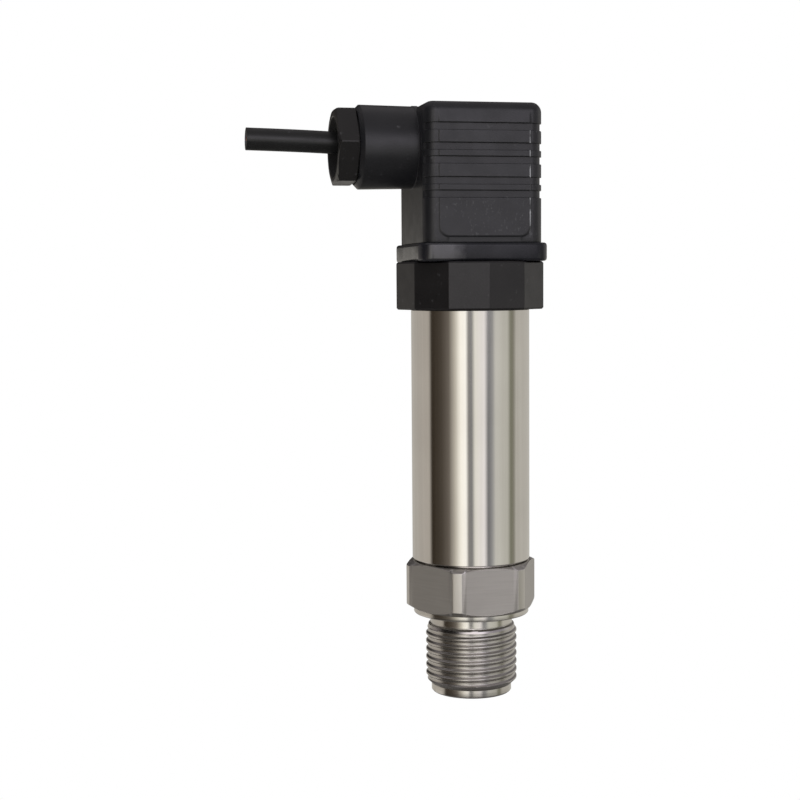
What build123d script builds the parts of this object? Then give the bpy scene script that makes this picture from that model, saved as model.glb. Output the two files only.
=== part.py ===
from build123d import *
import math
import os

# Pressure transmitter with a right-angle valve plug, a steel case tube and a G 1/2 process thread.
# Frame: millimetres, +Z up along the case axis. The origin is on the axis, in the sealing face
# under the steel hexagon. The cable gland points along -X and the front of the plug faces -Y.

# Fits and clearances
RUN_FIT = 0.07          # radial gap of a screw in its thread
PRESS_GAP = 0.05        # radial gap left between pieces that are pressed or welded together
LOOSE_GAP = 0.35        # radial gap round a screw shank in a clearance hole
INSERT_GAP = 0.15       # gap round the contact insert and round each terminal

# Process connection, turned from round bar
BAR_D = 30.0            # turned corners of the hexagon
HEX_AF = 27.0           # across flats
HEX_TURN = 3.9          # degrees from +X to a corner
HEX_TOP = 12.0
HEX_TOP_CHAMFER = 0.8
HEX_LOW_CHAMFER = 1.2
SEAL_D = 26.0           # raised sealing ring under the hexagon
SEAL_H = 1.1
NECK_D = 18.5           # undercut above the thread
NECK_H = 2.2
THREAD_D = 20.6         # major diameter of G 1/2 as cut, here without its grooves
THREAD_TOP_CHAMFER = 1.9
THREAD_END = 15.2       # below the sealing face
PILOT_D = 18.1
PILOT_START = 16.4
PILOT_END = 18.2
PILOT_CHAMFER = 0.6
PORT_D = 6.0            # pressure port
PORT_MOUTH_D = 8.0
SPIGOT_H = 6.0          # spigot above the hexagon, inside the tube
CAVITY_FLOOR = 5.0      # floor of the sensor cavity

# Sensor
CAPSULE_D = 19.0
CAPSULE_SEAT = 0.6
CAPSULE_H = 9.0
DIAPHRAGM_T = 0.3
DIAPHRAGM_D = 17.0
CAPSULE_GROOVE_W = 2.2
CAPSULE_GROOVE_DEPTH = 1.75
CAPSULE_RING_SECTION = 1.65
RETAINER_H = 3.0
RETAINER_BORE = 13.0
RETAINER_SLOT_W = 1.5
RETAINER_SLOT_DEPTH = 1.2
PIN_COUNT = 5
PIN_D = 0.6
PIN_CIRCLE = 7.0

# Electronics
SMALL_BOARD_D = 17.0
SMALL_BOARD_T = 1.2
SMALL_BOARD_LIFT = 0.6  # above the retaining ring
BOARD_W = 19.0
BOARD_H = 33.0
BOARD_T = 1.6
HOLDER_T = 3.0
HOLDER_OVERLAP = 2.0    # depth of the slot over the board's top edge
HOLDER_HOLE_D = 7.0     # holes for the wires, in front of and behind the board
HOLDER_HOLE_REACH = 6.2
CHIPS = (               # width, depth, height, place along X, height above the board's foot
    (6.0, 1.6, 5.0, -4.0, 5.0),
    (4.0, 1.4, 4.0, 4.5, 5.5),
    (3.2, 1.2, 2.4, -5.0, 14.0),
    (5.0, 1.8, 7.0, 2.5, 14.0),
)
WIRE_D = 1.2
WIRE_BEND_R = 0.9
WIRE_PADS = (-4.0, 4.0, 5.5)    # places of the wires on the board along X
WIRE_PAD_DROP = 6.0     # foot of a wire below the holder
WIRE_PAD_L = 2.4        # stretch of a wire that lies on the board
WIRE_SPREAD = 2.4       # furthest from the middle where a wire passes the holder
WIRE_END_L = 2.2        # straight stretch under a contact's tail

# Case tube and collar
TUBE_D = 26.5
TUBE_WALL = 1.25
TUBE_GAP = 0.3          # joint line above the hexagon
TUBE_L = 56.2
TUBE_EDGE = 0.2
COLLAR_AF = 32.5
COLLAR_SIDES = 12
COLLAR_H = 10.5
COLLAR_EDGE = 0.35
COLLAR_SPIGOT_H = 7.5
COLLAR_SPIGOT_WALL = 1.6
COLLAR_GROOVE_W = 2.2
COLLAR_GROOVE_DEPTH = 1.0
COLLAR_RING_SECTION = 0.9

# Base socket on the collar
BASE_SQUARE = 26.4
BASE_FLANGE_T = 2.4
BASE_CORNER_R = 2.4
PLATFORM_D = 21.0
PLATFORM_H = 2.2        # above the flange
BARREL_DEPTH = 8.0
BARREL_WALL = 0.9
BARREL_COVER = 0.6      # of the barrel outside the blades
BLADE_REACH = 9.0       # from the axis to the middle of a blade
BLADE_W = 6.3
BLADE_T = 0.8
BLADE_H = 9.4           # above the platform
BLADE_TIP_CHAMFER = 0.9
CONTACT_ANGLES = (90, 270, 0)
EARTH_ANGLE = 180       # the earth contact is on the gland's side
TAIL_W = 3.0
TAIL_DROP = 3.0         # tail below the barrel
TAIL_PAD = 0.9          # plastic round a tail inside the barrel
BARREL_FLOOR_T = 4.0    # solid part of the barrel under the collar's top
NUT_BLIND = 1.5         # closed end of the brass thread
NUT_D = 6.0             # brass thread pressed into the base
BASE_SCREW_REACH = 9.6  # along X and Y
BASE_SCREW_D = 2.5
BASE_SCREW_L = 6.0
BASE_SCREW_HEAD_D = 4.0
BASE_SCREW_HEAD_H = 1.4

# Profile gasket
GASKET_SQUARE = 29.1
GASKET_CORNER_R = 3.0
GASKET_T = 4.0
GASKET_EDGE = 0.5
GASKET_GAP = 0.1        # round the base's flange
PLATFORM_GAP = 0.2      # round the base's platform

# Plug housing
PLUG_X = 26.6
PLUG_Y = 26.6
PLUG_H = 30.2
PLUG_CORNER_R = 2.4
PLUG_TOP_R = 2.2
PLUG_WALL = 1.9
ROOF_T = 3.0
PANEL_W = 20.6          # raised panel on the front and back
PANEL_LIFT = 0.2
PANEL_LOW = 1.1         # above the plug's lower edge
PANEL_CORNER_R = 2.4
GROOVE_DEPTH = 0.35
GROOVE_H = 1.55
GROOVE_RISES = (9.6, 12.45, 16.85, 19.75, 24.0)     # above the plug's lower edge
GROOVE_WRAP = 0.3       # plain part of the corners beside the face with the spout

# Cable spout and gland
GLAND_RISE = 21.15      # axis above the plug's lower edge
SPOUT_D = 18.4
SPOUT_ROOT_D = 18.0
SPOUT_END = 26.1        # from the axis
SPOUT_CHAMFER = 0.9
GLAND_THREAD_D = 15.0
GLAND_HEX_AF = 15.8
GLAND_HEX_TURN = 9.0    # degrees that the front ridge stands above the axis
GLAND_HEX_L = 4.35
GLAND_HEX_GAP = 0.35
GLAND_FACE_D = 15.2     # flat ring on the outer end
GLAND_FACE_CHAMFER = 0.5
GLAND_SHANK_L = 7.0
GLAND_BORE_D = 8.3
GLAND_MOUTH_D = 13.2
GLAND_MOUTH_DEPTH = 3.2
WASHER_T = 0.8
WASHER_D = 13.4
SEAL_BODY_D = 13.4
SEAL_SHOULDER = 13.5    # from the axis to the shoulder that the seal rests on
SEAL_GAP = 0.2
PASSAGE_D = 8.0

# Contact insert and terminals
INSERT_LIFT = 0.6       # above the base platform
INSERT_H = 11.8
INSERT_CORNER_R = 1.0
TERMINAL_T = 2.6
TERMINAL_W = 7.4
BLADE_SLOT_GAP = 0.1
BLADE_HEADROOM = 0.5
CLAMP_H = 3.4
CLAMP_DEPTH = 4.2
TERMINAL_SCREW_D = 2.5
TERMINAL_SCREW_HEAD_D = 3.6
TERMINAL_SCREW_HEAD_H = 1.6

# Fixing screw through the middle of the plug
SCREW_D = 2.9
SCREW_HEAD_D = 5.5
SCREW_HEAD_H = 2.6
SCREW_ENGAGEMENT = 4.0
SCREW_SLOT = (0.8, 1.1)
SMALL_SLOT = (0.6, 0.6) # width and depth, on the small screws
HEAD_EDGE_SHARE = 0.18
TIP_EDGE_SHARE = 0.15
HEAD_POCKET_D = 7.0
HEAD_POCKET_DEPTH = 5.2
SCREW_SEAL_T = 0.9
SCREW_SEAL_D = 6.2
POST_WALL = 1.3         # of the post inside the housing round the screw head

# Cable: sheath, cores and the route of its centre line
CABLE_D = 4.9
CORE_D = 1.3
CORE_GAP = 0.25         # round a core in its clamp
CORE_SPREAD = 1.1       # from the cable's middle to a core's middle
CORE_BEND_R = 1.0
CORE_START_L = 2.4      # straight stretch out of the sheath
CORE_LEAD_L = 2.4       # straight stretch in front of a clamp
CORE_LEAN = 1.5         # slope of a core on its way down
CABLE_PLACES = ((-9.5, 0.0), (-19.5, 0.0), (-32.0, 1.15), (-49.8, 1.55))   # along X, above the gland's axis
FILLET_SHARE = 0.45

# Worked-out sizes
PIN_ANGLES = [360 * k / PIN_COUNT for k in range(PIN_COUNT)]
SPIGOT_TOP = HEX_TOP + SPIGOT_H
TUBE_LOW = HEX_TOP + TUBE_GAP
TUBE_TOP = TUBE_LOW + TUBE_L
TUBE_BORE = TUBE_D - 2 * TUBE_WALL
SPIGOT_D = TUBE_BORE - 2 * PRESS_GAP
CAVITY_D = CAPSULE_D + 2 * PRESS_GAP
CAPSULE_LOW = CAVITY_FLOOR + CAPSULE_SEAT
CAPSULE_TOP = CAPSULE_LOW + CAPSULE_H
RETAINER_TOP = CAPSULE_TOP + RETAINER_H
SMALL_BOARD_LOW = RETAINER_TOP + SMALL_BOARD_LIFT
BOARD_LOW = SMALL_BOARD_LOW + SMALL_BOARD_T
BOARD_TOP = BOARD_LOW + BOARD_H
HOLDER_LOW = BOARD_TOP - HOLDER_OVERLAP
COLLAR_TOP = TUBE_TOP + COLLAR_H
BASE_TOP = COLLAR_TOP + BASE_FLANGE_T
PLATFORM_TOP = BASE_TOP + PLATFORM_H
BLADE_TOP = PLATFORM_TOP + BLADE_H
BASE_SCREW_SEAT = BASE_TOP - BASE_SCREW_HEAD_H
BARREL_D = 2 * (BLADE_REACH + BLADE_T / 2 + BARREL_COVER)
BARREL_LOW = COLLAR_TOP - BARREL_DEPTH
BARREL_FLOOR = COLLAR_TOP - BARREL_FLOOR_T
TAIL_LOW = BARREL_LOW - TAIL_DROP
PLUG_LOW = COLLAR_TOP + GASKET_T
PLUG_TOP = PLUG_LOW + PLUG_H
GLAND_Z = PLUG_LOW + GLAND_RISE
CABLE_ROUTE = [(x, 0.0, GLAND_Z + rise) for x, rise in CABLE_PLACES]
CAVITY_X = PLUG_X - 2 * PLUG_WALL
CAVITY_Y = PLUG_Y - 2 * PLUG_WALL
ROOF_LOW = PLUG_TOP - ROOF_T
INSERT_LOW = PLATFORM_TOP + INSERT_LIFT
INSERT_TOP = INSERT_LOW + INSERT_H
INSERT_X = CAVITY_X - 2 * INSERT_GAP
INSERT_Y = CAVITY_Y - 2 * INSERT_GAP
CLAMP_LOW = INSERT_TOP
CLAMP_TOP = CLAMP_LOW + CLAMP_H
CLAMP_X = BLADE_REACH + TERMINAL_T / 2 - CLAMP_DEPTH / 2
CORE_HOLE_Z = CLAMP_LOW + CLAMP_H / 2
HEAD_SEAT = PLUG_TOP - HEAD_POCKET_DEPTH
SCREW_HEAD_LOW = HEAD_SEAT + SCREW_SEAL_T
SCREW_TIP = PLATFORM_TOP - SCREW_ENGAGEMENT
GLAND_INNER = -(SPOUT_END + GLAND_HEX_GAP)
GLAND_OUTER = GLAND_INNER - GLAND_HEX_L
SHANK_END = GLAND_INNER + GLAND_SHANK_L
WASHER_END = SHANK_END + WASHER_T
SEAL_BORE_D = SEAL_BODY_D + 2 * SEAL_GAP


def rod(diameter, low, high, x=0.0, y=0.0):
    """Upright cylinder between two heights."""
    return Pos(x, y, (low + high) / 2) * Cylinder(diameter / 2, high - low)


def lying_rod(diameter, start, end):
    """Cylinder on the gland axis between two places along X."""
    return Pos((start + end) / 2, 0, GLAND_Z) * Rot(0, 90, 0) * Cylinder(diameter / 2, end - start)


def block(width, depth, low, high, x=0.0, y=0.0):
    """Upright block between two heights."""
    return Pos(x, y, (low + high) / 2) * Box(width, depth, high - low)


def square_post(width, depth, corner_r, low, high):
    """Upright block with rounded corners."""
    outline = RectangleRounded(width, depth, corner_r)
    return Pos(0, 0, low) * extrude(outline, high - low)


def turned(*points):
    """Solid turned about Z from (radius, height) points."""
    outline = Polyline(*[(r, 0, z) for r, z in points], close=True)
    return revolve(make_face(outline), Axis.Z)


def turned_x(*points):
    """Solid turned about the gland axis from (place along X, radius) points."""
    outline = Polyline(*[(x, 0, GLAND_Z + r) for x, r in points], close=True)
    return revolve(make_face(outline), Axis((0, 0, GLAND_Z), (1, 0, 0)))


def o_ring(middle_d, section, height):
    """Rubber ring of round section."""
    return Pos(0, 0, height) * Torus(middle_d / 2, section / 2)


def at_angles(piece, angles):
    """Copies of a piece turned about the case axis."""
    return [Rot(0, 0, angle) * piece for angle in angles]


def process_connection():
    """Hexagon, sealing ring, undercut, thread and end pilot, bored from both ends."""
    bar_r = BAR_D / 2
    turned_bar = turned(
        (0, 0),
        (SEAL_D / 2, 0),
        (SEAL_D / 2, SEAL_H),
        (bar_r, SEAL_H + HEX_LOW_CHAMFER),
        (bar_r, HEX_TOP - HEX_TOP_CHAMFER),
        (TUBE_D / 2, HEX_TOP),
        (0, HEX_TOP),
    )
    flats = extrude(RegularPolygon(HEX_AF / 2, 6, major_radius=False, rotation=HEX_TURN), HEX_TOP)
    thread_r = THREAD_D / 2
    stem = turned(
        (0, 0),
        (NECK_D / 2, 0),
        (NECK_D / 2, -NECK_H),
        (thread_r, -NECK_H - THREAD_TOP_CHAMFER),
        (thread_r, -THREAD_END),
        (PILOT_D / 2, -PILOT_START),
        (PILOT_D / 2, -PILOT_END + PILOT_CHAMFER),
        (PILOT_D / 2 - PILOT_CHAMFER, -PILOT_END),
        (0, -PILOT_END),
    )
    body = turned_bar & flats
    body += stem
    body += rod(SPIGOT_D, HEX_TOP, SPIGOT_TOP)
    body -= rod(CAVITY_D, CAVITY_FLOOR, SPIGOT_TOP)
    body -= rod(PORT_D, -PILOT_END, CAVITY_FLOOR)
    mouth_top = -PILOT_END + (PORT_MOUTH_D - PORT_D) / 2
    return body - turned(
        (0, -PILOT_END),
        (PORT_MOUTH_D / 2, -PILOT_END),
        (PORT_D / 2, mouth_top),
        (0, mouth_top),
    )


def sensor_capsule():
    """Steel cell that turns pressure on its diaphragm into a signal."""
    body = rod(CAPSULE_D, CAPSULE_LOW, CAPSULE_TOP)
    middle = (CAPSULE_LOW + CAPSULE_TOP) / 2
    groove = rod(CAPSULE_D, middle - CAPSULE_GROOVE_W / 2, middle + CAPSULE_GROOVE_W / 2)
    groove -= rod(CAPSULE_D - 2 * CAPSULE_GROOVE_DEPTH, middle - CAPSULE_GROOVE_W, middle + CAPSULE_GROOVE_W)
    return body - groove


def sensor_diaphragm():
    """Thin disc on the capsule's lower face."""
    return rod(DIAPHRAGM_D, CAPSULE_LOW - DIAPHRAGM_T, CAPSULE_LOW)


def capsule_o_ring():
    """Seal between the capsule and its cavity."""
    middle_d = CAPSULE_D + PRESS_GAP - CAPSULE_GROOVE_DEPTH
    return o_ring(middle_d, CAPSULE_RING_SECTION, (CAPSULE_LOW + CAPSULE_TOP) / 2)


def retaining_ring():
    """Ring that holds the capsule down, with two slots for a pin wrench."""
    ring = rod(CAPSULE_D, CAPSULE_TOP, RETAINER_TOP) - rod(RETAINER_BORE, CAPSULE_TOP, RETAINER_TOP)
    slot = block(CAPSULE_D, RETAINER_SLOT_W, RETAINER_TOP - RETAINER_SLOT_DEPTH, RETAINER_TOP)
    return ring - slot


def header_pins():
    """Contact pins of the capsule's glass seal."""
    pin = rod(PIN_D, CAPSULE_TOP, BOARD_LOW, x=PIN_CIRCLE / 2)
    return at_angles(pin, PIN_ANGLES)


def compensation_board():
    """Round board on the header pins."""
    board = rod(SMALL_BOARD_D, SMALL_BOARD_LOW, SMALL_BOARD_LOW + SMALL_BOARD_T)
    hole = rod(PIN_D + 2 * RUN_FIT, SMALL_BOARD_LOW, SMALL_BOARD_LOW + SMALL_BOARD_T, x=PIN_CIRCLE / 2)
    for each in at_angles(hole, PIN_ANGLES):
        board -= each
    return board


def amplifier_board():
    """Upright board with the amplifier, standing on the round board."""
    return block(BOARD_W, BOARD_T, BOARD_LOW, BOARD_TOP)


def board_chips():
    """Packages on the front of the amplifier board."""
    front = -BOARD_T / 2
    chips = []
    for width, depth, height, x, up in CHIPS:
        low = BOARD_LOW + up
        chips.append(block(width, depth, low, low + height, x=x, y=front - depth / 2))
    return chips


def board_holder():
    """Disc in the tube with a slot that keeps the board's top edge in the middle."""
    disc = rod(SPIGOT_D, HOLDER_LOW, HOLDER_LOW + HOLDER_T)
    disc -= block(BOARD_W + 2 * PRESS_GAP, BOARD_T + 2 * PRESS_GAP, HOLDER_LOW, BOARD_TOP)
    for side in (-1, 1):
        disc -= rod(HOLDER_HOLE_D, HOLDER_LOW, HOLDER_LOW + HOLDER_T, y=side * HOLDER_HOLE_REACH)
    return disc


def lead_wires():
    """Wires from the amplifier board to the tails of the contacts."""
    wires = []
    low = HOLDER_LOW - WIRE_PAD_DROP
    for pad_x, angle in zip(WIRE_PADS, CONTACT_ANGLES):
        side = -1 if angle == 270 else 1
        pad_y = side * (BOARD_T + WIRE_D) / 2
        hole_x = max(-WIRE_SPREAD, min(WIRE_SPREAD, pad_x))
        hole_y = side * HOLDER_HOLE_REACH
        tail_x = BLADE_REACH * math.cos(math.radians(angle))
        tail_y = BLADE_REACH * math.sin(math.radians(angle))
        route = FilletPolyline(
            (pad_x, pad_y, low),
            (pad_x, pad_y, low + WIRE_PAD_L),
            (hole_x, hole_y, HOLDER_LOW - WIRE_D / 2),
            (hole_x, hole_y, HOLDER_LOW + HOLDER_T + WIRE_D),
            (tail_x, tail_y, TAIL_LOW - WIRE_END_L),
            (tail_x, tail_y, TAIL_LOW),
            radius=WIRE_BEND_R,
        )
        wires.append(sweep(Plane(route @ 0, z_dir=route % 0) * Circle(WIRE_D / 2), route))
    return wires


def case_tube():
    """Steel sleeve from the hexagon to the collar."""
    outer = TUBE_D / 2
    inner = TUBE_BORE / 2
    return turned(
        (inner, TUBE_LOW),
        (outer - TUBE_EDGE, TUBE_LOW),
        (outer, TUBE_LOW + TUBE_EDGE),
        (outer, TUBE_TOP),
        (inner, TUBE_TOP),
    )


def collar():
    """Twelve-sided cover on the tube, with a sealed spigot inside the tube."""
    outline = RegularPolygon(COLLAR_AF / 2, COLLAR_SIDES, major_radius=False)
    body = Pos(0, 0, TUBE_TOP) * extrude(outline, COLLAR_H)
    rims = body.edges().filter_by(Axis.Z, reverse=True)
    body = chamfer(rims, COLLAR_EDGE)
    spigot_low = TUBE_TOP - COLLAR_SPIGOT_H
    body += rod(SPIGOT_D, spigot_low, TUBE_TOP)
    body -= rod(SPIGOT_D - 2 * COLLAR_SPIGOT_WALL, spigot_low, BARREL_LOW)
    body -= rod(BARREL_D + 2 * PRESS_GAP, BARREL_LOW, COLLAR_TOP)
    middle = TUBE_TOP - COLLAR_SPIGOT_H / 2
    groove = rod(SPIGOT_D, middle - COLLAR_GROOVE_W / 2, middle + COLLAR_GROOVE_W / 2)
    groove -= rod(SPIGOT_D - 2 * COLLAR_GROOVE_DEPTH, middle - COLLAR_GROOVE_W, middle + COLLAR_GROOVE_W)
    body -= groove
    for place in base_screw_places():
        body -= place * rod(BASE_SCREW_D + 2 * RUN_FIT, BASE_SCREW_SEAT - BASE_SCREW_L, COLLAR_TOP)
    return body


def collar_o_ring():
    """Seal between the collar's spigot and the tube."""
    middle_d = SPIGOT_D - COLLAR_GROOVE_DEPTH
    return o_ring(middle_d, COLLAR_RING_SECTION, TUBE_TOP - COLLAR_SPIGOT_H / 2)


def base_screw_places():
    """Places of the four screws that hold the base on the collar."""
    reach = BASE_SCREW_REACH
    return [Pos(x, y, 0) for x in (-reach, reach) for y in (-reach, reach)]


def base_socket():
    """Square base with a round platform above and a barrel below that carries the blades."""
    body = square_post(BASE_SQUARE, BASE_SQUARE, BASE_CORNER_R, COLLAR_TOP, BASE_TOP)
    body += rod(PLATFORM_D, BASE_TOP, PLATFORM_TOP)
    body += rod(BARREL_D, BARREL_LOW, COLLAR_TOP)
    body -= rod(BARREL_D - 2 * BARREL_WALL, BARREL_LOW, BARREL_FLOOR)
    body += rod(NUT_D + 2 * BARREL_WALL, BARREL_LOW, BARREL_FLOOR)
    for angle in (*CONTACT_ANGLES, EARTH_ANGLE):
        pad = block(BLADE_T + 2 * TAIL_PAD, TAIL_W + 2 * TAIL_PAD, BARREL_LOW, BARREL_FLOOR, x=BLADE_REACH)
        pad &= rod(BARREL_D, BARREL_LOW, BARREL_FLOOR)
        slot = block(BLADE_T, TAIL_W, BARREL_LOW, BARREL_FLOOR, x=BLADE_REACH)
        slot += block(BLADE_T, BLADE_W, BARREL_FLOOR, PLATFORM_TOP, x=BLADE_REACH)
        body += Rot(0, 0, angle) * pad
        body -= Rot(0, 0, angle) * slot
    body -= rod(NUT_D, BARREL_LOW, PLATFORM_TOP)
    for place in base_screw_places():
        body -= place * rod(BASE_SCREW_D + 2 * PRESS_GAP, COLLAR_TOP, BASE_TOP)
        body -= place * rod(BASE_SCREW_HEAD_D + 2 * PRESS_GAP, BASE_SCREW_SEAT, BASE_TOP)
    return body


def contact_blade():
    """One flat contact: a wide blade above, a narrow tail below."""
    blade = block(BLADE_T, BLADE_W, BARREL_FLOOR, BLADE_TOP, x=BLADE_REACH)
    tips = blade.edges().filter_by(Axis.X).group_by(Axis.Z)[-1]
    blade = chamfer(tips, BLADE_TIP_CHAMFER)
    return blade + block(BLADE_T, TAIL_W, TAIL_LOW, BARREL_FLOOR, x=BLADE_REACH)


def contact_blades():
    """The three signal contacts."""
    return at_angles(contact_blade(), CONTACT_ANGLES)


def earth_blade():
    """The earth contact."""
    return Rot(0, 0, EARTH_ANGLE) * contact_blade()


def base_nut():
    """Brass thread for the fixing screw, pressed into the base."""
    body = rod(NUT_D - 2 * PRESS_GAP, BARREL_LOW, PLATFORM_TOP)
    return body - rod(SCREW_D + 2 * RUN_FIT, BARREL_LOW + NUT_BLIND, PLATFORM_TOP)


def screw(diameter, head_d, head_h, tip, head_low, slot):
    """Upright slotted screw; slot gives the width and the depth of its slot."""
    slot_w, slot_depth = slot
    head_top = head_low + head_h
    head = rod(head_d, head_low, head_top)
    head = chamfer(head.edges().group_by(Axis.Z)[-1], head_h * HEAD_EDGE_SHARE)
    head -= block(head_d, slot_w, head_top - slot_depth, head_top)
    shank = rod(diameter, tip, head_low)
    shank = chamfer(shank.edges().group_by(Axis.Z)[0], diameter * TIP_EDGE_SHARE)
    return head + shank


def base_screws():
    """Four screws through the base into the collar."""
    tip = BASE_SCREW_SEAT - BASE_SCREW_L
    one = screw(BASE_SCREW_D, BASE_SCREW_HEAD_D, BASE_SCREW_HEAD_H, tip, BASE_SCREW_SEAT, SMALL_SLOT)
    return [place * one for place in base_screw_places()]


def flange_gasket():
    """Rubber profile gasket that covers the base and seals against the plug."""
    body = square_post(GASKET_SQUARE, GASKET_SQUARE, GASKET_CORNER_R, COLLAR_TOP, PLUG_LOW)
    rims = body.edges().group_by(Axis.Z)
    body = fillet(rims[0] + rims[-1], GASKET_EDGE)
    pocket = BASE_SQUARE + 2 * GASKET_GAP
    body -= square_post(pocket, pocket, BASE_CORNER_R + GASKET_GAP, COLLAR_TOP, BASE_TOP + GASKET_GAP)
    return body - rod(PLATFORM_D + 2 * PLATFORM_GAP, COLLAR_TOP, PLUG_LOW)


def ring_cut(low):
    """One shallow groove round the front, the back and the far side of the plug."""
    high = low + GROOVE_H
    cut = 2 * GROOVE_DEPTH
    plain = PLUG_Y - 2 * PLUG_CORNER_R + 2 * GROOVE_WRAP
    band = block(PLUG_X, PLUG_Y + 2 * PANEL_LIFT, low, high)
    band -= block(PLUG_X, plain, low, high, x=-PLUG_X / 2)
    return band - square_post(PLUG_X - cut, PLUG_Y - cut, PLUG_CORNER_R - GROOVE_DEPTH, low, high)


def plug_housing():
    """Moulded cover of the plug with its cable spout."""
    body = square_post(PLUG_X, PLUG_Y, PLUG_CORNER_R, PLUG_LOW, PLUG_TOP)
    body = fillet(body.edges().group_by(Axis.Z)[-1], PLUG_TOP_R)
    panel_top = PLUG_TOP - PLUG_TOP_R
    panel_h = panel_top - PLUG_LOW - PANEL_LOW
    panel = Box(PANEL_W, PLUG_Y + 2 * PANEL_LIFT, panel_h)
    panel = fillet(panel.edges().filter_by(Axis.Y).group_by(Axis.Z)[0], PANEL_CORNER_R)
    body += Pos(0, 0, panel_top - panel_h / 2) * panel
    for rise in GROOVE_RISES:
        body -= ring_cut(PLUG_LOW + rise)
    root_x = -PLUG_X / 2 + PLUG_WALL / 2
    spout = turned_x(
        (root_x, 0),
        (root_x, SPOUT_ROOT_D / 2),
        (-SPOUT_END + SPOUT_CHAMFER, SPOUT_D / 2),
        (-SPOUT_END, SPOUT_D / 2 - SPOUT_CHAMFER),
        (-SPOUT_END, 0),
    )
    body += spout
    cavity_r = PLUG_CORNER_R - PLUG_WALL
    cavity = square_post(CAVITY_X, CAVITY_Y, cavity_r, PLUG_LOW, ROOF_LOW)
    cavity -= rod(HEAD_POCKET_D + 2 * POST_WALL, INSERT_TOP, ROOF_LOW)
    body -= cavity
    body -= rod(HEAD_POCKET_D, HEAD_SEAT, PLUG_TOP)
    body -= rod(SCREW_D + 2 * LOOSE_GAP, PLUG_LOW, HEAD_SEAT)
    body -= lying_rod(GLAND_THREAD_D, -SPOUT_END, WASHER_END)
    body -= lying_rod(SEAL_BORE_D, -SPOUT_END, -SEAL_SHOULDER)
    body -= lying_rod(PASSAGE_D, -SPOUT_END, -CAVITY_X / 2)
    return body


def terminal_pocket(gap=0.0):
    """Space of one terminal's lower sleeve."""
    return block(TERMINAL_T + 2 * gap, TERMINAL_W + 2 * gap, INSERT_LOW, INSERT_TOP, x=BLADE_REACH)


def contact_insert():
    """Block in the plug with a pocket for each terminal."""
    body = square_post(INSERT_X, INSERT_Y, INSERT_CORNER_R, INSERT_LOW, INSERT_TOP)
    for angle in (*CONTACT_ANGLES, EARTH_ANGLE):
        body -= Rot(0, 0, angle) * terminal_pocket(INSERT_GAP)
    return body - rod(SCREW_D + 2 * LOOSE_GAP, INSERT_LOW, INSERT_TOP)


def terminal():
    """Sleeve that grips a blade, with a screw clamp for one core on top."""
    slot_t = BLADE_T + 2 * BLADE_SLOT_GAP
    slot_w = BLADE_W + 2 * BLADE_SLOT_GAP
    body = terminal_pocket()
    body -= block(slot_t, slot_w, INSERT_LOW, BLADE_TOP + BLADE_HEADROOM, x=BLADE_REACH)
    body += block(CLAMP_DEPTH, TERMINAL_W, CLAMP_LOW, CLAMP_TOP, x=CLAMP_X)
    hole = Pos(CLAMP_X, 0, CORE_HOLE_Z) * Rot(90, 0, 0) * Cylinder(CORE_D / 2 + CORE_GAP, TERMINAL_W)
    body -= hole
    return body - rod(TERMINAL_SCREW_D, CORE_HOLE_Z, CLAMP_TOP, x=CLAMP_X)


def terminals():
    """Terminals of the three signal contacts."""
    return at_angles(terminal(), CONTACT_ANGLES)


def earth_terminal():
    """Terminal of the earth contact."""
    return Rot(0, 0, EARTH_ANGLE) * terminal()


def terminal_screws():
    """Clamping screws of all four terminals."""
    tip = CORE_HOLE_Z + CORE_D / 2 + PRESS_GAP
    diameter = TERMINAL_SCREW_D - 2 * PRESS_GAP
    one = screw(diameter, TERMINAL_SCREW_HEAD_D, TERMINAL_SCREW_HEAD_H, tip, CLAMP_TOP, SMALL_SLOT)
    return at_angles(Pos(CLAMP_X, 0, 0) * one, (*CONTACT_ANGLES, EARTH_ANGLE))


def fixing_screw():
    """Long screw from the top of the plug into the base."""
    return screw(SCREW_D, SCREW_HEAD_D, SCREW_HEAD_H, SCREW_TIP, SCREW_HEAD_LOW, SCREW_SLOT)


def screw_seal():
    """Rubber washer under the head of the fixing screw."""
    hole = rod(SCREW_D + 2 * LOOSE_GAP, HEAD_SEAT, SCREW_HEAD_LOW)
    return rod(SCREW_SEAL_D, HEAD_SEAT, SCREW_HEAD_LOW) - hole


def gland_screw():
    """Hollow pressure screw with a hexagon head and a flared mouth."""
    hexagon = extrude(RegularPolygon(GLAND_HEX_AF / 2, 6, major_radius=False), GLAND_HEX_L)
    head = Pos(GLAND_OUTER, 0, GLAND_Z) * Rot(0, 90, 0) * Rot(0, 0, 90 - GLAND_HEX_TURN) * hexagon
    corner_r = GLAND_HEX_AF / 2 / math.cos(math.radians(30))
    envelope = turned_x(
        (GLAND_OUTER, 0),
        (GLAND_OUTER, GLAND_FACE_D / 2),
        (GLAND_OUTER + GLAND_FACE_CHAMFER, corner_r),
        (GLAND_INNER, corner_r),
        (GLAND_INNER, 0),
    )
    body = head & envelope
    body += lying_rod(GLAND_THREAD_D - 2 * RUN_FIT, GLAND_INNER, SHANK_END)
    body -= lying_rod(GLAND_BORE_D, GLAND_OUTER, SHANK_END)
    mouth = turned_x(
        (GLAND_OUTER, 0),
        (GLAND_OUTER, GLAND_MOUTH_D / 2),
        (GLAND_OUTER + GLAND_MOUTH_DEPTH, GLAND_BORE_D / 2),
        (GLAND_OUTER + GLAND_MOUTH_DEPTH, 0),
    )
    return body - mouth


def gland_washer():
    """Slip ring between the pressure screw and the seal."""
    return lying_rod(WASHER_D, SHANK_END, WASHER_END) - lying_rod(GLAND_BORE_D, SHANK_END, WASHER_END)


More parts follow.
